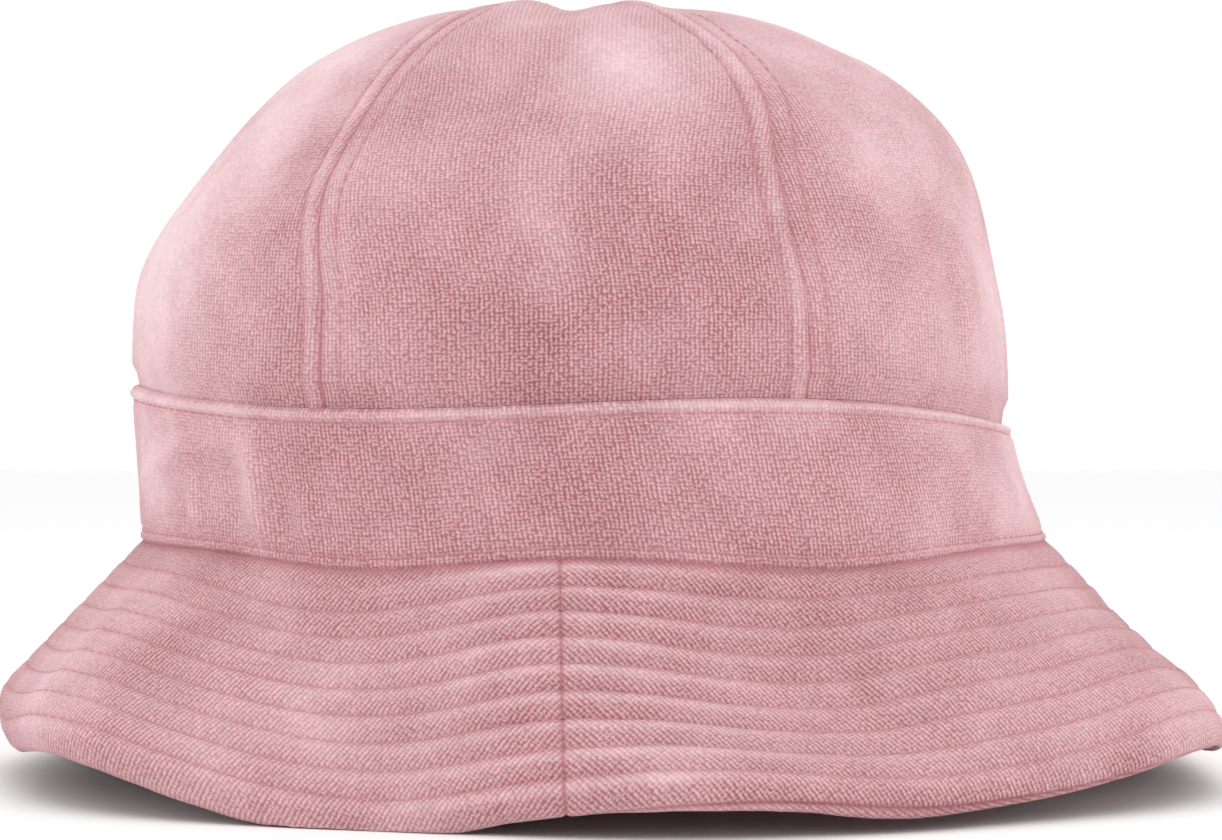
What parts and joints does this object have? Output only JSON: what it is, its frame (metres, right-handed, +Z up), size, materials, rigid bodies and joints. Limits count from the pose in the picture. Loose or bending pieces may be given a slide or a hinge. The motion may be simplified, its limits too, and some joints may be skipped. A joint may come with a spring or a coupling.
{
  "type": "bucket hat",
  "caption": "Soft terry bucket hat with a panelled dome crown, a lapped side band and a wide wavy brim quilted in rings.",
  "frame": {"origin": "on the surface the hat stands on, below the middle of its box", "axes": "+Z up through the crown, -Y the hat's front, +X to the right as seen from the front"},
  "size_m": [0.2452, 0.2637, 0.1551],
  "materials": {
    "crown_terry": "dusty pink terry towelling, matt and slightly fuzzy, fine vertical ribs",
    "band_terry": "dusty pink terry towelling, matt and slightly fuzzy, fine vertical ribs",
    "brim_terry": "dusty pink terry towelling cut on the bias, matt and slightly fuzzy",
    "under_brim_terry": "dusty pink terry towelling cut on the bias, matt and slightly fuzzy",
    "interlining": "stiff unbleached cotton",
    "sweatband_cotton": "pink cotton twill, matt",
    "seam_tape": "pink cotton bias tape, matt",
    "thread": "pink polyester sewing thread, slight sheen",
    "label": "plain woven label, blank"
  },
  "bodies": {
    "root": {"band_lower_edge_stitch": "thread", "band_upper_edge_stitch": "thread", "brim_interlining_left": "interlining", "brim_interlining_right": "interlining", "brim_stitch_row_1": "thread", "brim_stitch_row_2": "thread", "brim_stitch_row_3": "thread", "brim_stitch_row_4": "thread", "brim_stitch_row_5": "thread", "brim_stitch_row_6": "thread", "brim_stitch_row_7": "thread", "brim_stitch_row_8": "thread", "brim_under_left": "under_brim_terry", "brim_under_right": "under_brim_terry", "brim_upper_left": "brim_terry", "brim_upper_right": "brim_terry", "crown_panel_back": "crown_terry", "crown_panel_back_left": "crown_terry", "crown_panel_back_right": "crown_terry", "crown_panel_front": "crown_terry", "crown_panel_front_left": "crown_terry", "crown_panel_front_right": "crown_terry", "crown_topstitch_back_far": "thread", "crown_topstitch_back_left_far": "thread", "crown_topstitch_back_left_near": "thread", "crown_topstitch_back_near": "thread", "crown_topstitch_back_right_far": "thread", "crown_topstitch_back_right_near": "thread", "crown_topstitch_front_far": "thread", "crown_topstitch_front_left_far": "thread", "crown_topstitch_front_left_near": "thread", "crown_topstitch_front_near": "thread", "crown_topstitch_front_right_far": "thread", "crown_topstitch_front_right_near": "thread", "inside_label": "label", "seam_tape_back": "seam_tape", "seam_tape_back_left": "seam_tape", "seam_tape_back_right": "seam_tape", "seam_tape_front": "seam_tape", "seam_tape_front_left": "seam_tape", "seam_tape_front_right": "seam_tape", "side_band": "band_terry", "sweatband": "sweatband_cotton"}
  },
  "joints": []
}
